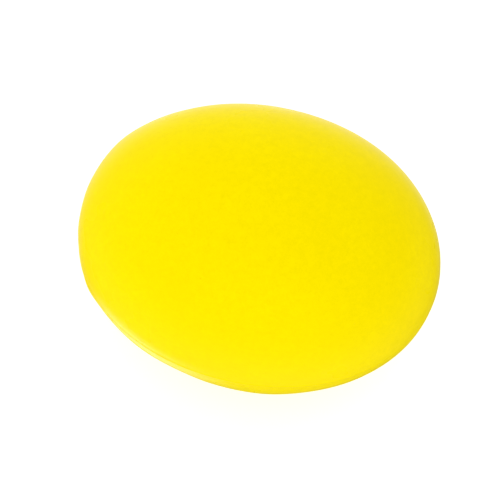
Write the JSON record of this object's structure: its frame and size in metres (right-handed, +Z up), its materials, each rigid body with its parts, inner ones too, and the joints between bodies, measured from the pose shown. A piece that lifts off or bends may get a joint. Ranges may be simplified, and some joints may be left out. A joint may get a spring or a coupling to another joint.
{
  "type": "stress ball",
  "caption": "Oval moulded-foam stress ball: coated skins formed in two mould halves round a soft foam core, with a sealed pour hole; the top presses down and springs back.",
  "frame": {"origin": "centre of the ball's box on the surface it rests on, under the middle of the pressed foot", "axes": "+X along the long axis, away from the sealed pour hole; +Z up, the way the mould opened; the parting plane is level and holds the long axis"},
  "size_m": [0.0696, 0.0544, 0.0539],
  "materials": {
    "skin_coat": "matte",
    "foam": "matte",
    "patch_coat": "satin"
  },
  "bodies": {
    "lower": {"skin_lower": "skin_coat"},
    "upper": {"skin_upper": "skin_coat"},
    "core": {"foam_core": "foam", "pour_patch": "patch_coat"}
  },
  "joints": [
    {"name": "squeeze", "type": "slide", "parent": "lower", "child": "upper", "axis": [0, 0, -1], "range_m": [0, 0.02], "stiffness_N_per_m": 1500, "deforming": ["skin_upper", "skin_lower"]},
    {"name": "core_squeeze", "type": "slide", "parent": "lower", "child": "core", "axis": [0, 0, -1], "range_m": [0, 0.01], "stiffness_N_per_m": 1500, "deforming": ["foam_core"]}
  ],
  "couplings": [
    {"joint": "core_squeeze", "follows": "squeeze", "ratio": 0.5}
  ]
}
